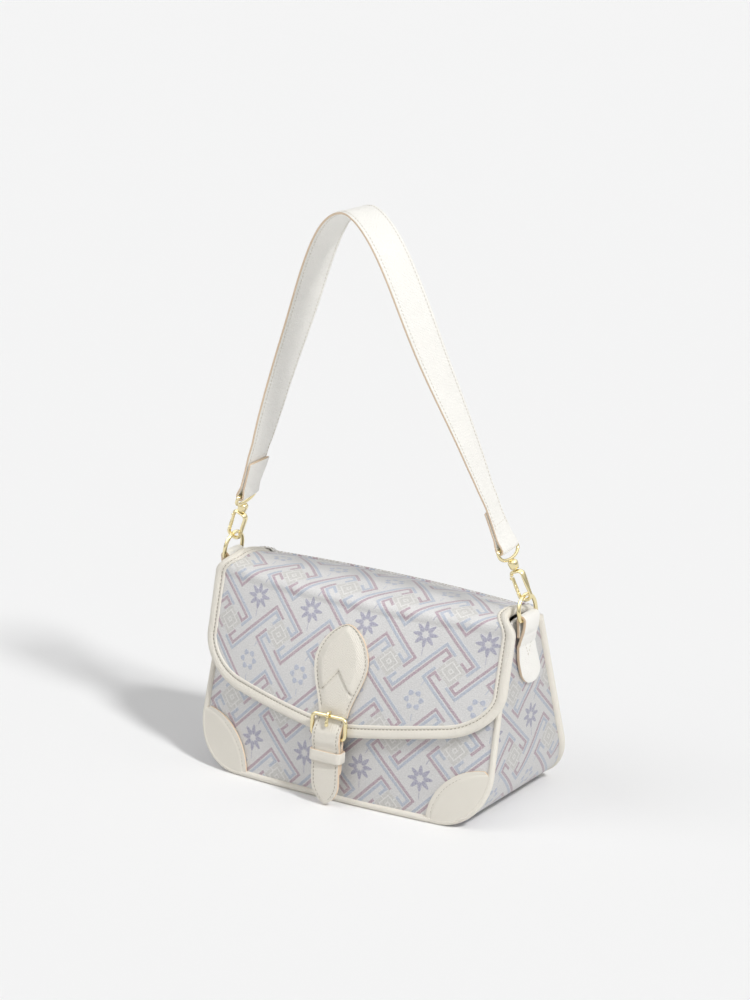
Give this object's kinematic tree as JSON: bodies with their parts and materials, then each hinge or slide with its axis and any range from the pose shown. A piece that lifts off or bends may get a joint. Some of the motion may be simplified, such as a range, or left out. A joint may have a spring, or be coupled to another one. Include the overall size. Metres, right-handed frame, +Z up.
{
  "type": "flap handbag",
  "caption": "Flap handbag with a tapered box body, buckled flap, leather edging and corner patches, and a short shoulder strap on swivel hooks.",
  "frame": {"origin": "on the ground under the middle of the bag, in the plane of its flat base", "axes": "+X to the right of the front face, +Y to the back, +Z up"},
  "size_m": [0.2686, 0.1453, 0.4389],
  "materials": {
    "brocade": "woven jacquard, silky, lattice and flower pattern",
    "cream_leather": "fine grain, semi-matt, stitched edges",
    "lining_cloth": "plain weave, matt",
    "board": "stiff fibre board",
    "gold": "light gold plating, polished",
    "steel": "plain magnetic snap"
  },
  "bodies": {
    "bag_body": {"front_panel": "brocade", "back_panel": "brocade", "gusset": "brocade", "front_piping": "cream_leather", "back_piping": "cream_leather", "lining": "lining_cloth", "base_board": "board", "front_corner_patch_left": "cream_leather", "front_corner_patch_right": "cream_leather", "snap_socket": "steel", "ring_tab_left": "cream_leather", "ring_tab_right": "cream_leather"},
    "flap_top": {"flap_top_panel": "brocade", "flap_top_edge_left": "cream_leather", "flap_top_edge_right": "cream_leather"},
    "flap_front": {"flap_front_panel": "brocade", "flap_front_binding": "cream_leather", "leaf_patch": "cream_leather", "billet_strap": "cream_leather", "buckle_chape": "cream_leather", "keeper_loop": "cream_leather", "buckle_frame": "gold", "snap_stud": "steel"},
    "prong": {"buckle_prong": "gold"},
    "handle": {"shoulder_strap": "cream_leather", "hook_bail_left": "gold", "hook_bail_right": "gold", "hook_collar_left": "gold", "hook_collar_right": "gold"},
    "ring_left": {"d_ring_left": "gold"},
    "hook_left": {"hook_body_left": "gold", "hook_stem_left": "gold", "gate_rivet_left": "gold"},
    "gate_left": {"hook_gate_left": "gold"},
    "ring_right": {"d_ring_right": "gold"},
    "hook_right": {"hook_body_right": "gold", "hook_stem_right": "gold", "gate_rivet_right": "gold"},
    "gate_right": {"hook_gate_right": "gold"}
  },
  "joints": [
    {"name": "flap_top_hinge", "type": "hinge", "parent": "bag_body", "child": "flap_top", "pos_m": [0, 0.0245, 0.148], "axis": [-1, 0, 0], "range_deg": [0, 8]},
    {"name": "flap_front_hinge", "type": "hinge", "parent": "flap_top", "child": "flap_front", "pos_m": [0, -0.016, 0.156], "axis": [-1, 0, 0], "range_deg": [0, 125]},
    {"name": "buckle_prong_hinge", "type": "hinge", "parent": "flap_front", "child": "prong", "pos_m": [0, -0.07095, 0.0685], "axis": [-1, 0, 0], "range_deg": [0, 80]},
    {"name": "handle_swing", "type": "hinge", "parent": "bag_body", "child": "handle", "pos_m": [0, -0.006, 0.15744], "axis": [-1, 0, 0], "range_deg": [-65.5, 74.5]},
    {"name": "ring_tilt_left", "type": "hinge", "parent": "bag_body", "child": "ring_left", "pos_m": [-0.1303, -0.006, 0.1515], "axis": [0, 1, 0], "range_deg": [-2.5, 2.5]},
    {"name": "hook_swivel_left", "type": "hinge", "parent": "handle", "child": "hook_left", "pos_m": [-0.12037, -0.00835, 0.18728], "axis": [0.3746, -0.0727, 0.9243], "range_deg": [-7, 7]},
    {"name": "gate_spring_left", "type": "hinge", "parent": "hook_left", "child": "gate_left", "pos_m": [-0.12718, -0.00807, 0.18379], "axis": [0, -0.9969, -0.0785], "range_deg": [0, 22], "stiffness_Nm_per_rad": 0.02, "springref_deg": -17.19},
    {"name": "ring_tilt_right", "type": "hinge", "parent": "bag_body", "child": "ring_right", "pos_m": [0.1303, -0.006, 0.1515], "axis": [0, 1, 0], "range_deg": [-2.5, 2.5]},
    {"name": "hook_swivel_right", "type": "hinge", "parent": "handle", "child": "hook_right", "pos_m": [0.12037, -0.00835, 0.18728], "axis": [-0.3746, -0.0727, 0.9243], "range_deg": [-7, 7]},
    {"name": "gate_spring_right", "type": "hinge", "parent": "hook_right", "child": "gate_right", "pos_m": [0.11791, -0.00778, 0.18005], "axis": [0, -0.9969, -0.0785], "range_deg": [0, 22], "stiffness_Nm_per_rad": 0.02, "springref_deg": -17.19}
  ]
}
